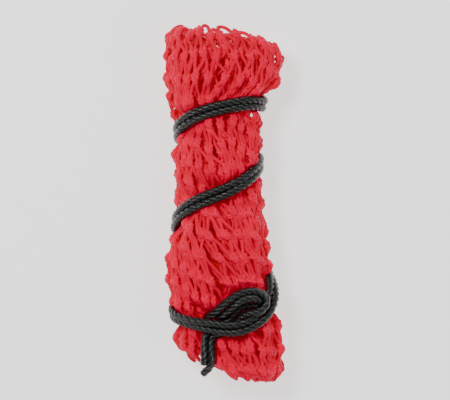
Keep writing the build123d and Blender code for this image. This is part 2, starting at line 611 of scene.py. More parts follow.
@dataclass(frozen=True)
class TwineFinish(Finish):
    """Braided red twine: a plaited relief, a soft gloss, colour that shifts from run to run, a painted
    highlight that makes it paler at the knots, and a painted red glow.

    Attributes:
        plait: crossings of the braid for each hundredth of a metre.
        plait_sides: ridges of the braid round the twine.
        specular: strength of its gloss.
        gloss: linear colour of its gloss.
        painted_glow: strength of a painted glow, a little red light that the twine gives off of its own to
            lift the shade between its layers.
        painted_glow_colour: linear colour of that painted glow.
    """

    plait: float = 5.0
    plait_sides: float = 4.0
    specular: float = 0.16
    gloss: tuple = (1.0, 0.16, 0.24)
    painted_glow: float = 0.06
    painted_glow_colour: tuple = (1.0, 0.0, 0.05)

    def dress(self, tree: bpy.types.NodeTree, shader: bpy.types.Node) -> None:
        """Fills in the shader.

        Args:
            tree: the material's node tree.
            shader: its Principled shader.
        """
        along, around = map_parts(tree)
        tone = add_node(tree, "ShaderNodeAttribute", {"attribute_name": "tone"}, {}, "Fac")
        lengthwise = along * (self.plait * math.pi)
        crosswise = around * (self.plait_sides * 2 * math.pi)
        to_right = (lengthwise + crosswise).sine()
        to_left = (lengthwise - crosswise).sine()
        braid = to_right * to_left
        fibres = stretched_noise(tree, along * 3.0, around * 22.0, 1.4, 3.0)
        patches = stretched_noise(tree, along * 0.7, tone * 9.0, 1.0, 2.0)
        share = tone * 0.6 + patches * 0.35 + fibres * 0.2 + braid * 0.06 - 0.12
        shader.inputs["Specular IOR Level"].default_value = self.specular
        shader.inputs["Specular Tint"].default_value = (*self.gloss, 1.0)
        # painted glow: the twine gives off a little red light of its own, which lifts the shade in the gaps
        # between layers
        self.shine(shader, self.painted_glow_colour, self.painted_glow)
        self.join(
            tree,
            shader,
            self.colour_between(tree, share),
            patches * 0.6 + fibres * 0.4,
            0.5 + 0.32 * braid + 0.3 * fibres,
        )


@dataclass(frozen=True)
class CordFinish(Finish):
    """Black twisted cord: fine filaments that run along each strand at a slant, and satin gloss.

    Attributes:
        yarns: yarns that show round one strand.
        yarn_turns: turns of a yarn for each hundredth of a metre of strand.
        specular: strength of its gloss.
    """

    yarns: float = 9.0
    yarn_turns: float = -0.55
    specular: float = 0.62

    def dress(self, tree: bpy.types.NodeTree, shader: bpy.types.Node) -> None:
        """Fills in the shader.

        Args:
            tree: the material's node tree.
            shader: its Principled shader.
        """
        along, around = map_parts(tree)
        tone = add_node(tree, "ShaderNodeAttribute", {"attribute_name": "tone"}, {}, "Fac")
        slant = around + along * self.yarn_turns
        yarns = (slant * (self.yarns * 2 * math.pi)).sine()
        filaments = stretched_noise(tree, along * 0.8, slant * 60.0, 1.0, 4.0)
        patches = stretched_noise(tree, along * 0.5, tone * 7.0, 1.0, 2.0)
        share = filaments * 0.7 + yarns * 0.14 + patches * 0.3 - 0.15
        shader.inputs["Specular IOR Level"].default_value = self.specular
        shader.inputs["Specular Tint"].default_value = (0.94, 1.0, 0.95, 1.0)
        self.join(
            tree,
            shader,
            self.colour_between(tree, share),
            filaments * 0.7 + patches * 0.3,
            0.5 + 0.28 * yarns + 0.5 * filaments,
        )


@dataclass(frozen=True)
class FusedFinish(Finish):
    """The cord's melted end: black, glossier and slightly lumpy."""

    def dress(self, tree: bpy.types.NodeTree, shader: bpy.types.Node) -> None:
        """Fills in the shader.

        Args:
            tree: the material's node tree.
            shader: its Principled shader.
        """
        place = add_node(tree, "ShaderNodeTexCoord", {}, {}, "Object")
        lumps = add_node(tree, "ShaderNodeTexNoise", {}, {"Vector": place, "Scale": 700.0, "Detail": 3.0})
        shader.inputs["Specular IOR Level"].default_value = 0.6
        self.join(tree, shader, self.colour_between(tree, lumps), lumps, lumps)


@dataclass(frozen=True)
class FoldsFinish(Finish):
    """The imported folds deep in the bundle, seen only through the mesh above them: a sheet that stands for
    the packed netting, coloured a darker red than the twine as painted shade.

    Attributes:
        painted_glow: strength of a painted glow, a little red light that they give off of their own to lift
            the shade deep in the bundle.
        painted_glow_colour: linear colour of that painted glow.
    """

    painted_glow: float = 0.10
    painted_glow_colour: tuple = (1.0, 0.0, 0.03)

    def dress(self, tree: bpy.types.NodeTree, shader: bpy.types.Node) -> None:
        """Fills in the shader.

        Args:
            tree: the material's node tree.
            shader: its Principled shader.
        """
        place = add_node(tree, "ShaderNodeTexCoord", {}, {}, "Object")
        long_folds = add_node(tree, "ShaderNodeMapping", {}, {"Vector": place, "Scale": (1.0, 0.25, 1.0)})
        inputs = {"Vector": long_folds, "Scale": 260.0, "Detail": 3.0}
        folds = add_node(tree, "ShaderNodeTexNoise", {}, inputs)
        shader.inputs["Specular IOR Level"].default_value = 0.0
        # painted glow: red light of their own, which lifts the shade deep in the bundle
        self.shine(shader, self.painted_glow_colour, self.painted_glow)
        # painted shade: their red is darker than the twine's, for the shade deep in the bundle
        self.join(tree, shader, self.colour_between(tree, folds * 1.6 - 0.3), folds, folds)


@dataclass(frozen=True)
class FloorFinish(Finish):
    """A plain pale floor, lit a little from below as a studio table is.

    Attributes:
        glow: strength of the light from below.
    """

    glow: float = 1.1

    def dress(self, tree: bpy.types.NodeTree, shader: bpy.types.Node) -> None:
        """Fills in the shader.

        Args:
            tree: the material's node tree.
            shader: its Principled shader.
        """
        place = add_node(tree, "ShaderNodeTexCoord", {}, {}, "Object")
        grain = add_node(tree, "ShaderNodeTexNoise", {}, {"Vector": place, "Scale": 40.0, "Detail": 2.0})
        shader.inputs["Specular IOR Level"].default_value = 0.1
        self.shine(shader, (1.0, 1.0, 1.0), self.glow)
        self.join(tree, shader, self.colour_between(tree, grain), grain, grain)


TWINE = TwineFinish("red_braided_twine", (0.64, 0.0, 0.022), (1.0, 0.0, 0.066), 0.40, 0.2, 0.00022)
CORD = CordFinish("black_twisted_cord", (0.0006, 0.0006, 0.0006), (0.009, 0.009, 0.009), 0.20, 0.2, 0.00028)
FUSED = FusedFinish("fused_cord_end", (0.005, 0.005, 0.005), (0.022, 0.022, 0.022), 0.22, 0.25, 0.0003)
# the folds' colours are painted shade: a darker red than the twine's
FOLDS = FoldsFinish("packed_folds", (0.30, 0.0, 0.002), (0.75, 0.0004, 0.006), 0.6, 0.3, 0.0015)
FLOOR = FloorFinish("pale_floor", (0.86, 0.86, 0.86), (0.90, 0.90, 0.90), 0.75, 0.1, 0.00005)


# --- the drawcord ------------------------------------------------------------------------------
@dataclass
class Leg:
    """One leg of the drawcord, from the middle of the cord to the end of its tail.

    Attributes:
        letter: the leg's letter.
        middle: the middle bend's points that belong to it.
        fold: out of the folds to the underside.
        turns: two turns round the net: angle round it in degrees, and distance along it.
        standing: across the face and behind.
        loop: up through the folds, round the slip loop and back under the standing turn.
        tail: down to the end.
        leaves_at: number of the route's point where the leg comes out of the folds.
        length: its length from there to its end, m; not used.
    """

    letter: str
    middle: list
    fold: list
    turns: list
    standing: list
    loop: list
    tail: list
    leaves_at: int
    length: float

    def nodes(self) -> list:
        """The CAD nodes that the leg stands for."""
        return [f"cord_{self.letter}_{part}" for part in ("windings", "standing_turn", "slip_loop", "tail")]


@dataclass
class Drawcord:
    """The three-strand cord that ties the bundle.

    Attributes:
        form: the bundle that it goes round.
        diameter: over its strands, m.
        strands: number of strands.
        lay: length of one turn of a strand, m.
        strand_radius: a strand's radius, m.
        winding_lift: from the net's surface to the points of a winding, m.
        floor_gap: clear height above the surface underneath, m.
        step: spacing of a strand's rings, m.
        sides: points round a strand.
        proud: how far the strands' crowns stand out of the diameter, m.
        tip_length: length of the melted end beyond the cord's own, m.
        tip_overlap: how far the melted end reaches back over the strands, m.
        lines: the smooth lines made so far, by name.
    """

    form: BundleForm
    diameter: float = 0.0076
    strands: int = 3
    lay: float = 0.0200
    strand_radius: float = 0.0022
    winding_lift: float = -0.0005
    floor_gap: float = 0.00015
    step: float = 0.0011
    sides: int = 14
    proud: float = 0.0003
    tip_length: float = 0.0032
    tip_overlap: float = 0.0012
    lines: dict = field(default_factory=dict)

    def around(self, angle: float, y: float) -> tuple:
        """A point of a winding.

        Args:
            angle: angle round the net, degrees.
            y: distance along it, m.

        Returns:
            The point.
        """
        left, right, low, high = self.form.section(y)
        c, s = math.cos(math.radians(angle)), math.sin(math.radians(angle))
        power = 2 / self.form.squareness
        half_width = (right - left) / 2 + self.winding_lift
        half_height = (high - low) / 2 + self.winding_lift
        x = (left + right) / 2 + half_width * math.copysign(abs(c) ** power, c)
        z = (low + high) / 2 + half_height * math.copysign(abs(s) ** power, s)
        return (float(x), y, max(float(z), self.diameter / 2 + self.floor_gap))

    def smooth_line(self, name: str, route: list) -> Points:
        """The cord's own line, with the route's points as its control points.

        Args:
            name: the name of the curve while it is read.
            route: the points.

        Returns:
            Evenly spaced points of the line.
        """
        curve = bpy.data.curves.new(name, "CURVE")
        curve.dimensions = "3D"
        curve.resolution_u = 16
        spline = curve.splines.new("NURBS")
        spline.points.add(len(route) - 1)
        for point, place in zip(spline.points, route):
            point.co = (*place, 1.0)
        spline.order_u = 3
        spline.use_endpoint_u = True
        holder = bpy.data.objects.new(name, curve)
        mesh = bpy.data.meshes.new_from_object(holder)
        line = np.array([v.co for v in mesh.vertices])
        bpy.data.objects.remove(holder)
        bpy.data.curves.remove(curve)
        bpy.data.meshes.remove(mesh)
        return evenly(line, self.step, False)

    def strand_offset(self) -> float:
        """From the cord's middle to a strand's middle, m."""
        return self.diameter / 2 - self.strand_radius + self.proud

    def add_strands(self, mesh: RoundMesh, line: Points, start: int) -> None:
        """Adds the strands that lie round a line.

        Args:
            mesh: the mesh that they are added to.
            line: the cord's line.
            start: number of the line's point where they start.
        """
        first, second = carried_frames(line, False)
        along = distance_along(line, False)
        offset = self.strand_offset()
        draw = np.random.default_rng(7)
        for strand in range(self.strands):
            turn = (2 * math.pi * (along / self.lay + strand / self.strands))[:, None]
            path = line + offset * (first * np.cos(turn) + second * np.sin(turn))
            tone = np.full(len(path), draw.uniform(0.2, 0.8))
            mesh.add_tube(path[start:], self.strand_radius, self.sides, False, tone[start:])

    def leg_piece(self, leg: Leg, finish: bpy.types.Material) -> bpy.types.Object:
        """Makes one leg.

        Args:
            leg: which leg.
            finish: its material.

        Returns:
            The piece.
        """
        route = (
            leg.middle
            + leg.fold
            + [self.around(*turn) for turn in leg.turns]
            + leg.standing
            + leg.loop
            + leg.tail
        )
        line = self.smooth_line(f"cord_{leg.letter}_line", route)
        self.lines[leg.letter] = line
        exit_point = np.array(route[leg.leaves_at])
        start = int(np.argmin(np.linalg.norm(line - exit_point, axis=1)[:80]))
        mesh = RoundMesh()
        self.add_strands(mesh, line, start)
        piece = mesh.make(f"cord_{leg.letter}", finish)
        free = line[start:]
        length = float(distance_along(free, False)[-1])
        LOG.info("leg %s: %.3f m free, %.3f m in all", leg.letter, length, distance_along(line, False)[-1])
        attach(piece, "root")
        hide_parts(*leg.nodes())
        self.tip_piece(leg, line)
        return piece

    def tip_piece(self, leg: Leg, line: Points) -> bpy.types.Object:
        """Makes the melted end of a leg's tail.

        Args:
            leg: which leg.
            line: the leg's line.

        Returns:
            The piece.
        """
        outward = Vector(line[-1] - line[-4]).normalized()
        first, second = (frame[-1] for frame in carried_frames(line, False))
        along = distance_along(line, False)[-1]
        sides, steps = 48, 14
        turn = 2 * math.pi * np.arange(sides) / sides
        rings = []
        for step in range(steps):
            share = step / (steps - 1)
            reach = (self.tip_length + self.tip_overlap) * math.sin(share * math.pi / 2) - self.tip_overlap
            swell = 1.03 * math.cos(max(0.0, share - 0.45) / 0.55 * math.pi / 2) ** 0.55
            lobes = np.cos(self.strands * (turn - 2 * math.pi * along / self.lay))
            radius = self.diameter / 2 * swell * (0.955 + 0.045 * lobes * (1 - 0.6 * share))
            radius = radius * (1 + 0.02 * np.sin(5 * turn + 3 * share) * share)
            centre = line[-1] + np.array(outward) * reach
            spoke = first * np.cos(turn)[:, None] + second * np.sin(turn)[:, None]
            rings.append(centre + radius[:, None] * spoke)
        mesh = RoundMesh()
        mesh.add_rings(np.array(rings), np.linspace(0, self.tip_length, steps), np.full(steps, 0.5), False)
        piece = mesh.make(f"cord_{leg.letter}_fused_tip", FUSED.material())
        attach(piece, "root")
        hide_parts(f"cord_{leg.letter}_melted_tip")
        return piece

    def middle_piece(self, routes: list, finish: bpy.types.Material) -> bpy.types.Object:
        """Makes the bend threaded through the folds, from one leg's start to the other's.

        Args:
            routes: its points, from the leg a side to the leg b side.
            finish: its material.

        Returns:
            The piece.
        """
        line = self.smooth_line("cord_middle_line", routes)
        mesh = RoundMesh()
        self.add_strands(mesh, line, 0)
        piece = mesh.make("cord_middle", finish)
        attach(piece, "root")
        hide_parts("cord_middle_bend")
        self.lines["middle"] = line
        return piece


# the middle bend, from the leg a side to the leg b side
MIDDLE = [
    (-0.028, 0.1255, 0.031), (-0.024, 0.1205, 0.0375), (-0.024, 0.1115, 0.0375),
    (-0.028, 0.1065, 0.031),
]
LEG_A = Leg(
    letter="a",
    middle=MIDDLE[1::-1],
    fold=[
        (-0.034, 0.1245, 0.022), (-0.0385, 0.1228, 0.0125), (-0.033, 0.121, 0.0044),
        (-0.02, 0.1183, 0.004),
    ],
    turns=[
        (268, 0.116), (298, 0.112), (328, 0.107), (352, 0.103), (18, 0.101), (45, 0.103),
        (75, 0.1), (105, 0.094), (135, 0.086), (162, 0.078), (188, 0.072), (215, 0.067),
        (245, 0.062), (275, 0.057), (305, 0.053), (335, 0.049), (358, 0.045), (20, 0.0385),
        (45, 0.0288), (75, 0.0178), (105, 0.0084), (135, -0.001), (162, -0.0105), (188, -0.018),
        (215, -0.025), (245, -0.033), (275, -0.042), (305, -0.05), (335, -0.058),
    ],
    standing=[
        (0.044, -0.065, 0.028), (0.045, -0.075, 0.042), (0.045, -0.086, 0.052),
        (0.042, -0.097, 0.059), (0.0365, -0.107, 0.0655), (0.0285, -0.1152, 0.0695),
        (0.0165, -0.1198, 0.073), (0.003, -0.121, 0.074), (-0.01, -0.1192, 0.0735),
        (-0.024, -0.1174, 0.0735), (-0.0375, -0.1152, 0.0695), (-0.0485, -0.1115, 0.06),
        (-0.0535, -0.1075, 0.045), (-0.052, -0.103, 0.029), (-0.045, -0.101, 0.011),
        (-0.031, -0.101, 0.004), (-0.018, -0.102, 0.006),
    ],
    loop=[
        (-0.0095, -0.1045, 0.014), (-0.006, -0.1075, 0.026), (-0.006, -0.1105, 0.039),
        (-0.007, -0.1128, 0.051), (-0.0065, -0.113, 0.06), (-0.0028, -0.1115, 0.066),
        (0.003, -0.1072, 0.0695), (0.0081, -0.1019, 0.074), (0.0153, -0.0961, 0.078),
        (0.0246, -0.0932, 0.079), (0.0322, -0.0947, 0.077), (0.0348, -0.0982, 0.0718),
        (0.03, -0.1012, 0.066), (0.024, -0.1018, 0.064), (0.0175, -0.1025, 0.064),
        (0.012, -0.106, 0.0635), (0.0065, -0.1118, 0.062), (0.0015, -0.1178, 0.06),
        (-0.0055, -0.1218, 0.0597), (-0.0125, -0.1247, 0.06),
    ],
    tail=[
        (-0.018, -0.129, 0.0615), (-0.0198, -0.135, 0.0645), (-0.0202, -0.142, 0.068),
        (-0.0205, -0.1495, 0.069), (-0.0206, -0.1575, 0.0675),
    ],
    leaves_at=4,
    length=1.07,
)
LEG_B = Leg(
    letter="b",
    middle=MIDDLE[2:],
    fold=[
        (-0.034, 0.1075, 0.022), (-0.0385, 0.1092, 0.0125), (-0.033, 0.111, 0.0044),
        (-0.02, 0.1092, 0.004),
    ],
    turns=[
        (268, 0.1081), (298, 0.1041), (328, 0.0991), (352, 0.0958), (18, 0.095), (45, 0.0961),
        (75, 0.093), (105, 0.0867), (135, 0.0781), (162, 0.0701), (188, 0.0641), (215, 0.0591),
        (245, 0.0541), (275, 0.0491), (305, 0.0451), (335, 0.0411), (358, 0.0371), (20, 0.0307),
        (45, 0.0211), (75, 0.0099), (105, 0.0004), (135, -0.0091), (162, -0.0186), (188, -0.0262),
        (215, -0.0339), (245, -0.0419), (275, -0.0509), (305, -0.0589), (332, -0.0659),
    ],
    standing=[
        (0.0455, -0.0722, 0.0255), (0.0492, -0.0803, 0.04), (0.0506, -0.0893, 0.0502),
        (0.0494, -0.0989, 0.0576), (0.0441, -0.1101, 0.0641), (0.0344, -0.1195, 0.0685),
        (0.0207, -0.1266, 0.072), (0.006, -0.1287, 0.073), (-0.009, -0.1269, 0.0715),
        (-0.0238, -0.1233, 0.068), (-0.038, -0.12, 0.0615), (-0.0475, -0.117, 0.0535),
        (-0.052, -0.114, 0.0405), (-0.0515, -0.1115, 0.026), (-0.044, -0.11, 0.01),
        (-0.03, -0.11, 0.004),
    ],
    loop=[
        (-0.021, -0.1115, 0.009), (-0.0165, -0.1125, 0.02), (-0.0165, -0.113, 0.033),
        (-0.018, -0.114, 0.046), (-0.018, -0.114, 0.057), (-0.015, -0.112, 0.064),
        (-0.0095, -0.108, 0.0685), (-0.003, -0.1015, 0.072), (0.005, -0.095, 0.075),
        (0.0134, -0.0894, 0.077), (0.0235, -0.0863, 0.0775), (0.0335, -0.0874, 0.0765),
        (0.0396, -0.0918, 0.0745), (0.0416, -0.0984, 0.073), (0.0383, -0.1045, 0.074),
        (0.032, -0.1076, 0.0753), (0.025, -0.1078, 0.0725), (0.0185, -0.1108, 0.0675),
        (0.013, -0.116, 0.063), (0.0078, -0.1226, 0.0605), (0.0006, -0.1275, 0.06),
        (-0.0085, -0.1307, 0.0607),
    ],
    tail=[
        (-0.0128, -0.1353, 0.0635), (-0.0133, -0.1415, 0.067), (-0.0134, -0.1485, 0.0695),
        (-0.0133, -0.1555, 0.069), (-0.0143, -0.1623, 0.067), (-0.0205, -0.168, 0.064),
    ],
    leaves_at=4,
    length=1.09,
)


# --- the net -----------------------------------------------------------------------------------
class Stretch(Enum):
    """The net's four stretches, from the fanned end down."""

    TOP_TUFT = "net_top_tuft"
    UPPER_BARREL = "net_upper_barrel"
    LOWER_BARREL = "net_lower_barrel"
    BOTTOM_TUFT = "net_bottom_tuft"


class KnotShape:
    """The two twines of a netting knot, as points across, along and out of the net, m.

    The bight hangs from the row above. The hitch belongs to the knot's own row: it comes up
    through the bight, goes round its neck and crosses over itself.
    """

    BIGHT = np.array([
        (-1.6, 5.6, -0.4), (-2.3, 2.6, 0.5), (-2.6, -1.0, 1.2), (-1.5, -3.7, 1.6),
        (1.5, -3.7, 1.6), (2.6, -1.0, 1.2), (2.3, 2.6, 0.5), (1.6, 5.6, -0.4),
    ]) * 0.001
    HITCH = np.array([
        (-1.5, -7.0, -0.4), (-1.2, -4.6, -1.4), (-0.5, -1.6, -0.8), (0.2, 0.4, 1.8),
        (1.9, 2.4, 2.3), (3.5, 3.4, 0.2), (1.9, 3.5, -2.4), (-1.9, 3.1, -2.6),
        (-3.6, 2.2, -0.2), (-2.6, 1.0, 2.4), (-0.3, -0.6, 3.2), (1.2, -2.6, 2.8),
        (1.7, -5.0, 1.0), (1.5, -7.2, -0.4),
    ]) * 0.001


@dataclass
class NetLayer:
    """One closed layer of netting round the bundle.

    Attributes:
        name: a word for its reports.
        depth: how far it lies under the bundle's outline, m.
        inset: how far its ends stop short of the bundle's ends, m.
        columns: knots round the bundle in one row.
        rows: numbers of its rows of knots, of the bundle's sixteen.
        seed: seed of its scatter.
        sides: points round its twine.
        step: spacing of the twine's rings, m.
        shift: how far its rows are shifted along the bundle, in rows.
    """

    name: str
    depth: float
    inset: float
    columns: int
    rows: tuple
    seed: int
    sides: int
    step: float
    shift: float


@dataclass
class FoldedNet:
    """The folded net: layers of knotted twine, pressed down under the cord.

    Attributes:
        form: the bundle's outline.
        cord_lines: the lines of the cord that presses it.
        twine_radius: m.
        cord_radius: m.
        row_count: rows of knots from one end to the other.
        knot_size: scale of the knots.
        knot_thickness: from a knot's middle to its outermost twine, m.
        half_width: half the face's width, for the slant of the bars, m.
        column_scatter: scatter of the knots round the bundle, in columns.
        row_scatter: scatter of the knots along the bundle, m.
        narrow_pleats: height of the net's narrow pleats, m.
        wide_pleats: height of its wide pleats, m.
        press_slope: how steeply the net rises beside the cord that presses it.
        slants: distance along the bundle, and the bars' slant there in degrees.
        layers: the layers of netting, from the outside in.
    """

    form: BundleForm
    cord_lines: list
    twine_radius: float = 0.00184
    cord_radius: float = 0.0038
    row_count: int = 16
    knot_size: float = 0.90
    knot_thickness: float = 0.0045
    half_width: float = 0.045
    column_scatter: float = 0.22
    row_scatter: float = 0.0036
    narrow_pleats: float = 0.0016
    wide_pleats: float = 0.0012
    press_slope: float = 2.4
    slants: tuple = (
        (-0.179, 14.0), (-0.135, 6.0), (-0.105, 12.0), (-0.075, 25.0), (-0.030, 28.0),
        (0.010, 22.0), (0.055, 14.0), (0.090, 4.0), (0.130, -3.0), (0.179, -3.0),
    )
    layers: tuple = (
        NetLayer("outer", 0.0020, 0.000, 27, tuple(range(16)), 11, 7, 0.0019, 0.0),
        NetLayer("second", 0.0078, 0.001, 25, tuple(range(16)), 23, 5, 0.0029, 0.5),
        NetLayer("third", 0.0130, 0.003, 21, tuple(range(16)), 37, 4, 0.0040, 0.2),
        NetLayer("fourth top", 0.0185, 0.003, 16, (0, 1, 2, 3), 41, 4, 0.0034, 0.4),
        NetLayer("fourth bottom", 0.0185, 0.004, 16, (12, 13, 14, 15), 43, 4, 0.0034, 0.4),
        NetLayer("fifth top", 0.0250, 0.001, 11, (0, 1, 2), 47, 5, 0.0028, 0.1),
        NetLayer("fifth bottom", 0.0250, 0.003, 11, (13, 14, 15), 53, 5, 0.0028, 0.1),
    )

    def __post_init__(self) -> None:
        """Prepares what the rows ask for again and again."""
        table = np.array(self.slants)
        self._y = np.linspace(-0.19, 0.19, 381)
        slope = np.tan(np.radians(np.interp(self._y, table[:, 0], table[:, 1]))) / self.half_width
        self._twist = np.cumsum(slope) * (self._y[1] - self._y[0])
        self._cord = np.concatenate(self.cord_lines)
        self._tree = KDTree(len(self._cord))
        for number, point in enumerate(self._cord):
            self._tree.insert(point, number)
        self._tree.balance()

    def ends(self, angle: Points) -> tuple:
        """Where the net starts and ends along the bundle: both ends are cut at a slant.

        Args:
            angle: angle round the bundle, radians.

        Returns:
            The top and bottom ends, m.
        """
        c = np.cos(angle)
        top = 0.1670 - 0.025 * np.clip(c, 0, 1) ** 3
        bottom = -0.1665 + 0.032 * ((1 - c) / 2) ** 3.5
        return top, bottom

    def waves(self, layer: NetLayer, kind: int, angle: Points, y: Points, low: int, high: int) -> Points:
        """Smooth scatter round and along the bundle.

        Args:
            layer: the layer.
            kind: which of its scatters.
            angle: angle round the bundle, radians.
            y: distance along it, m.
            low: fewest waves round it.
            high: most waves round it.

        Returns:
            Scatter, mostly from -1 to 1.
        """
        draw = np.random.default_rng(layer.seed * 100 + kind)
        total = np.zeros(np.broadcast(angle, y).shape)
        for waves in range(low, high + 1):
            phase, drift = draw.uniform(0, 2 * math.pi), draw.uniform(-40, 40)
            total = total + np.sin(waves * angle + drift * y + phase)
        return total / math.sqrt(high - low + 1)

    def place(self, layer: NetLayer, column: Points, row: Points) -> tuple:
        """Angle and distance of a place in the net.

        Args:
            layer: the layer.
            column: place round the bundle, in columns.
            row: place along it, in rows from the top.

        Returns:
            The angle, radians, and the distance, m.
        """
        angle = -2 * math.pi * column / layer.columns + layer.seed
        flat_y = np.interp(row, (0, self.row_count - 1), (0.167, -0.167))
        column_width = 2 * math.pi / layer.columns
        angle = angle + self.column_scatter * column_width * self.waves(layer, 1, angle, flat_y, 3, 7)
        angle = angle + np.interp(flat_y, self._y, self._twist)
        top, bottom = self.ends(angle)
        last_row = self.row_count - 1
        share = (row + layer.shift * np.clip(1 - row / last_row, 0, 1)) / last_row
        y = top - layer.inset + (bottom - top + 2 * layer.inset) * share
        inside = np.sin(np.clip(share, 0, 1) * math.pi)
        y = y + self.row_scatter * self.waves(layer, 2, angle, flat_y, 2, 6) * (0.35 + 0.65 * inside)
        return angle, y

    def pressed(self, layer: NetLayer, angle: Points, y: Points, rise: Points, thick: float) -> tuple:
        """Points of a layer, pushed down where the cord lies on the net.

        Args:
            layer: the layer.
            angle: angle round the bundle, radians.
            y: distance along it, m.
            rise: height over the layer, m.
            thick: half the thickness of what has to fit under the cord, m.

        Returns:
            The points, and the unit vectors out of the net.
        """
        base, out = self.form.surface(angle, y), self.form.outward(angle, y)
        reach, deepest = self.cord_radius + thick + 0.0002, -0.015
        height = np.full(len(base), 1.0)
        for start in range(0, len(base), 400):
            block = slice(start, start + 400)
            delta = self._cord[None, :, :] - base[block, None, :]
            up = np.einsum("ijk,ik->ij", delta, out[block])
            aside = np.sqrt(np.maximum((delta**2).sum(-1) - up**2, 0))
            under = up - np.sqrt(np.maximum(reach**2 - aside**2, 0))
            under = under + self.press_slope * np.maximum(aside - reach, 0)
            under = np.where((up > deepest) & (up < 0.03) & (aside < 0.02), under, 1.0)
            height[block] = under.min(axis=1)
        pleats = self.narrow_pleats * self.waves(layer, 3, angle, y, 9, 14)
        pleats = pleats + self.wide_pleats * self.waves(layer, 4, angle, y, 3, 5)
        height = np.minimum(pleats + rise, height) - layer.depth
        points = base + out * height[:, None]
        floor = self.twine_radius + layer.depth * 0.75
        low = np.clip((0.012 - points[:, 2]) / 0.012, 0, 1)
        points[:, 2] = np.maximum(points[:, 2], floor + 0.0008 * (1 - low))
        return points, out

    def knots(self, layer: NetLayer, row: int) -> tuple:
        """The knots of one row.

        Args:
            layer: the layer.
            row: the row's number.

        Returns:
            Their angles, distances, middles, and the three vectors across, along and out of
            the net at each.
        """
        draw = np.random.default_rng(layer.seed * 1000 + row)
        column = np.arange(layer.columns) + 0.5 * (row % 2)
        column = column + draw.uniform(-0.13, 0.13, layer.columns)
        scatter = draw.uniform(-0.10, 0.10, layer.columns)
        rise = draw.uniform(-0.0010, 0.0014, layer.columns)
        angle, y = self.place(layer, column, row + scatter)
        middle, out = self.pressed(layer, angle, y, rise, self.knot_thickness)
        above = self.form.surface(*self.place(layer, column, np.full(layer.columns, row - 0.4)))
        below = self.form.surface(*self.place(layer, column, np.full(layer.columns, row + 0.4)))
        along = above - below
        along = unit(along - out * (along * out).sum(-1, keepdims=True))
        across = np.cross(along, out)
        frames = np.stack([across, along, out], axis=1)
        tilt = np.radians(draw.uniform(-1, 1, (layer.columns, 3)) * (14, 22, 16))
        turned = [np.array(Euler(turn).to_matrix()) @ axes for turn, axes in zip(tilt, frames)]
        return angle, y, middle, np.array(turned)

    def row_line(self, layer: NetLayer, row: int, upper: tuple, lower: tuple) -> Points:
        """The twine of one row: round its knots, and down through the row below and back.

        Args:
            layer: the layer.
            row: the row's number.
            upper: its own knots.
            lower: the knots of the row below.

        Returns:
            The twine's points, one closed line.
        """
        draw = np.random.default_rng(layer.seed * 2000 + row)
        columns = layer.columns
        own = self.tied(KnotShape.HITCH, upper)
        bights = self.tied(KnotShape.BIGHT, lower)
        right = (np.arange(columns) + row % 2) % columns
        bights = bights[right]
        down = self.bar(layer, draw, own[:, -1], bights[:, 0], upper, lower, right, np.arange(columns))
        ahead = (np.arange(columns) + 1) % columns
        up = self.bar(layer, draw, bights[:, -1], own[ahead, 0], upper, lower, right, ahead)
        return np.concatenate([own, down, bights, up], axis=1).reshape(-1, 3)

    def tied(self, shape: Points, knots: tuple) -> Points:
        """One of a knot's twines at every knot of a row.

        Args:
            shape: the twine's points across, along and out of the net, m.
            knots: the row's knots.

        Returns:
            Points by knot.
        """
        return np.einsum("ki,nij->nkj", shape * self.knot_size, knots[3]) + knots[2][:, None, :]

    def edge_line(self, layer: NetLayer, knots: tuple, upward: bool) -> Points:
        """The twine of the row beyond the last one, where the net folds into the bundle.

        Args:
            layer: the layer.
            knots: the last row's knots.
            upward: whether it is the fanned end.

        Returns:
            The twine's points, one closed line.
        """
        draw = np.random.default_rng(layer.seed * 3000 + upward)
        own = self.tied(KnotShape.BIGHT if upward else KnotShape.HITCH, knots)
        sign = 1.0 if upward else -1.0
        ahead = np.roll(np.arange(layer.columns), -1)
        along = (knots[3][:, 1] + knots[3][ahead, 1]) / 2 * sign
        out = (knots[3][:, 2] + knots[3][ahead, 2]) / 2
        middle = (own[:, -1] + own[ahead, 0]) / 2
        reach = draw.uniform(0.004, 0.012, (layer.columns, 1))
        sink = draw.uniform(0.002, 0.009, (layer.columns, 1))
        spread = own[ahead, 0] - own[:, -1]
        over = [
            middle + along * reach * share - out * sink * deep + spread * aside
            for share, deep, aside in ((0.75, 0.2, -0.3), (1.0, 0.7, 0.0), (0.75, 0.2, 0.3))
        ]
        over = np.stack(over, axis=1)
        limit = self.form.length / 2 - self.twine_radius
        over[..., 1] = np.clip(over[..., 1], -limit, limit)
        return np.concatenate([own, over], axis=1).reshape(-1, 3)

    def bar(
        self, layer: NetLayer, draw: np.random.Generator, start: Points, end: Points,
        upper: tuple, lower: tuple, low: Points, high: Points,
    ) -> Points:
        """The inner points of a row's bars, slack between two knots.

        Args:
            layer: the layer.
            draw: the row's scatter.
            start: where the bars start.
            end: where they end.
            upper: the knots above.
            lower: the knots below.
            low: number of each bar's knot below.
            high: number of each bar's knot above.

        Returns:
            Two points for each bar.
        """
        out = unit(upper[3][high][:, 2] + lower[3][low][:, 2])
        across = unit(upper[3][high][:, 0] + lower[3][low][:, 0])
        angle_high, angle_low = upper[0][high], lower[0][low]
        angle = angle_high + np.angle(np.exp(1j * (angle_low - angle_high))) * 0.5
        points = []
        for share in (0.34, 0.66):
            straight = start + (end - start) * share
            slack = draw.uniform(-0.0009, 0.0011, len(start))
            bow = draw.uniform(-0.0008, 0.0008, len(start))
            bowed = straight + out * slack[:, None] + across * bow[:, None]
            bed, _ = self.pressed(layer, angle, bowed[:, 1], slack, self.twine_radius)
            lift = ((bowed - bed) * out).sum(-1)
            bowed = bowed - out * np.maximum(lift, 0)[:, None] * 0.9
            points.append(bowed)
        return np.stack(points, axis=1)

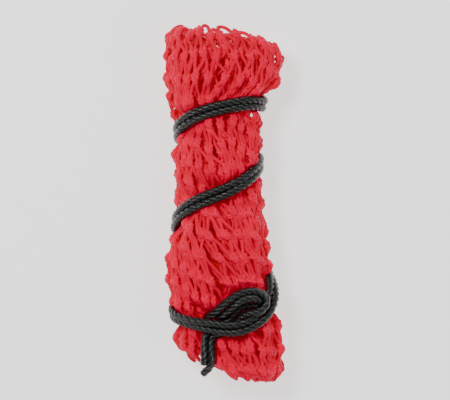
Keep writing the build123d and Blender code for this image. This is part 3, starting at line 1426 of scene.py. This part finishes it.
    def clear_of_cord(self, line: Points) -> Points:
        """Moves a twine's points out of the cord.

        Args:
            line: the twine's points.

        Returns:
            The points, none nearer to the cord's line than the two radii.
        """
        reach = self.cord_radius + self.twine_radius * 0.9
        moved = line.copy()
        for number, point in enumerate(line):
            near, _, distance = self._tree.find(point)
            if distance < reach:
                push = Vector(point) - near
                push = push.normalized() if push.length > 1e-6 else Vector((0, 0, -1))
                moved[number] = np.array(near + push * reach)
        moved[:, 2] = np.maximum(moved[:, 2], self.twine_radius)
        return moved

    def painted_knot_highlight(self, line: Points, knots: Points) -> Points:
        """How near a twine is to the knots: there it is painted paler, a painted highlight on the knots
        that stand out of the net.

        Args:
            line: the twine's points.
            knots: the middles of its layer's knots.

        Returns:
            From 0 on the bars to 1 in a knot.
        """
        tree = KDTree(len(knots))
        for number, knot in enumerate(knots):
            tree.insert(knot, number)
        tree.balance()
        apart = np.array([tree.find(point)[2] for point in line])
        return 1 - smooth_step(apart, 0.0035, 0.0075)

    def stretch_of(self, y: float) -> Stretch:
        """The stretch that a row belongs to.

        Args:
            y: the row's mean distance along the bundle, m.

        Returns:
            The stretch.
        """
        limits = [share * self.form.length / 2 for share in self.form.pass_shares]
        return list(Stretch)[sum(y < limit for limit in limits)]

    def pieces(self, finish: bpy.types.Material) -> list:
        """Makes the four stretches.

        Args:
            finish: their material.

        Returns:
            The pieces.
        """
        meshes = {stretch: RoundMesh() for stretch in Stretch}
        for layer in self.layers:
            rows = {row: self.knots(layer, row) for row in layer.rows}
            draw = np.random.default_rng(layer.seed)
            knots = np.concatenate([rows[row][2] for row in layer.rows])
            lines = [
                (self.row_line(layer, row, rows[row], rows[row + 1]), rows[row][1].mean())
                for row in layer.rows[:-1]
            ]
            if layer.rows[0] == 0:
                lines.append((self.edge_line(layer, rows[0], True), rows[0][1].mean()))
            if layer.rows[-1] == self.row_count - 1:
                lines.append((self.edge_line(layer, rows[layer.rows[-1]], False), -self.form.length / 2))
            for number, (points, y) in enumerate(lines):
                line = evenly(through(points, 4, True), layer.step, True)
                line = self.clear_of_cord(line)
                tone = 0.34 + 0.2 * np.sin(np.arange(len(line)) / 23.0 + number) + draw.uniform(-0.2, 0.2)
                # painted highlight: the twine is painted paler in and near the knots
                tone = tone + 0.5 * self.painted_knot_highlight(line, knots)
                meshes[self.stretch_of(float(y))].add_tube(line, self.twine_radius, layer.sides, True, tone)
            LOG.info("%s layer: %d rows of %d knots", layer.name, len(layer.rows), layer.columns)
        made = []
        for stretch, mesh in meshes.items():
            piece = mesh.make(f"{stretch.value}_netting", finish)
            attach(piece, "root")
            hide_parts(stretch.value)
            LOG.info("%s: %d faces", piece.name, len(piece.data.polygons))
            made.append(piece)
        return made

    def packed_folds(self, finish: bpy.types.Material) -> bpy.types.Object:
        """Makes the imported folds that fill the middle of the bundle.

        Args:
            finish: their material.

        Returns:
            The piece.
        """
        layer = NetLayer("packed folds", 0.0175, 0.030, 90, (), 71, 90, 0.004, 0.0)
        count, rows = 90, 80
        rings, along = [], np.linspace(0.146, -0.140, rows)
        angle = 2 * math.pi * np.arange(count) / count
        for y in along:
            points, _ = self.pressed(layer, angle, np.full(count, y), np.zeros(count), 0.0)
            rings.append(points)
        mesh = RoundMesh()
        mesh.add_rings(np.array(rings)[:, ::-1], 0.146 - along, np.full(rows, 0.3), False)
        piece = mesh.make("net_packed_folds", finish)
        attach(piece, "root")
        return piece


# --- the studio --------------------------------------------------------------------------------
@dataclass(frozen=True)
class Softbox:
    """One soft light that looks at the bundle.

    Attributes:
        name: its name.
        place: where it hangs, m.
        size: its side, m.
        power: W.
    """

    name: str
    place: tuple
    size: float
    power: float

    def hang(self) -> None:
        """Hangs it."""
        light = bpy.data.lights.new(self.name, "AREA")
        light.energy, light.size = self.power, self.size
        lamp = bpy.data.objects.new(self.name, light)
        lamp.location = self.place
        lamp.rotation_euler = (-Vector(self.place)).to_track_quat("-Z", "Y").to_euler()
        bpy.context.scene.collection.objects.link(lamp)


@dataclass(frozen=True)
class Studio:
    """Camera, floor and soft light.

    Attributes:
        view_width: width of what the camera sees at reference_height, m.
        view_centre: the middle of what it sees.
        reference_height: height above the floor at which view_width is measured, m.
        camera_distance: from there to the camera, m.
        sensor_width: mm.
        floor_side: side of the floor, m.
        ambient: strength of the light from all round.
        softboxes: the lamps.
    """

    view_width: float = 0.450
    view_centre: tuple = (0.0, 0.003)
    reference_height: float = 0.045
    camera_distance: float = 2.2
    sensor_width: float = 36.0
    floor_side: float = 8.0
    ambient: float = 0.36
    softboxes: tuple = (
        Softbox("key", (-0.55, 0.5, 1.45), 0.45, 17.5),
        Softbox("fill", (0.9, -0.5, 1.3), 1.0, 6.0),
    )

    def camera(self) -> None:
        """Sets up the camera, straight above the bundle."""
        lens = bpy.data.cameras.new("camera")
        lens.sensor_width = self.sensor_width
        lens.lens = self.sensor_width * self.camera_distance / self.view_width
        lens.clip_end = 20.0
        camera = bpy.data.objects.new("camera", lens)
        camera.location = (*self.view_centre, self.reference_height + self.camera_distance)
        bpy.context.scene.collection.objects.link(camera)
        bpy.context.scene.camera = camera

    def floor(self) -> None:
        """Lays the floor."""
        half = self.floor_side / 2
        mesh = bpy.data.meshes.new("floor")
        mesh.from_pydata(
            [(-half, -half, 0), (half, -half, 0), (half, half, 0), (-half, half, 0)], [], [(0, 1, 2, 3)]
        )
        mesh.materials.append(FLOOR.material())
        floor = bpy.data.objects.new("floor", mesh)
        bpy.context.scene.collection.objects.link(floor)

    def light(self) -> None:
        """Sets up the lights."""
        world = bpy.data.worlds.new("studio")
        world.use_nodes = True
        background = next(n for n in world.node_tree.nodes if n.type == "BACKGROUND")
        background.inputs["Color"].default_value = (1.0, 1.0, 1.0, 1.0)
        background.inputs["Strength"].default_value = self.ambient
        bpy.context.scene.world = world
        for softbox in self.softboxes:
            softbox.hang()


def main() -> None:
    """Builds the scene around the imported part."""
    logging.basicConfig(level=logging.INFO, format="%(name)s: %(message)s")
    studio = Studio()
    studio.camera()
    form = BundleForm()
    cord = Drawcord(form)
    black = CORD.material()
    for leg in (LEG_A, LEG_B):
        piece = cord.leg_piece(leg, black)
        LOG.info("%s: %d faces", piece.name, len(piece.data.polygons))
    cord.middle_piece([*LEG_A.middle[::-1], *LEG_B.middle], black)
    net = FoldedNet(form, list(cord.lines.values()))
    net.pieces(TWINE.material())
    net.packed_folds(FOLDS.material())
    studio.floor()
    studio.light()


if __name__ == "__main__":
    main()
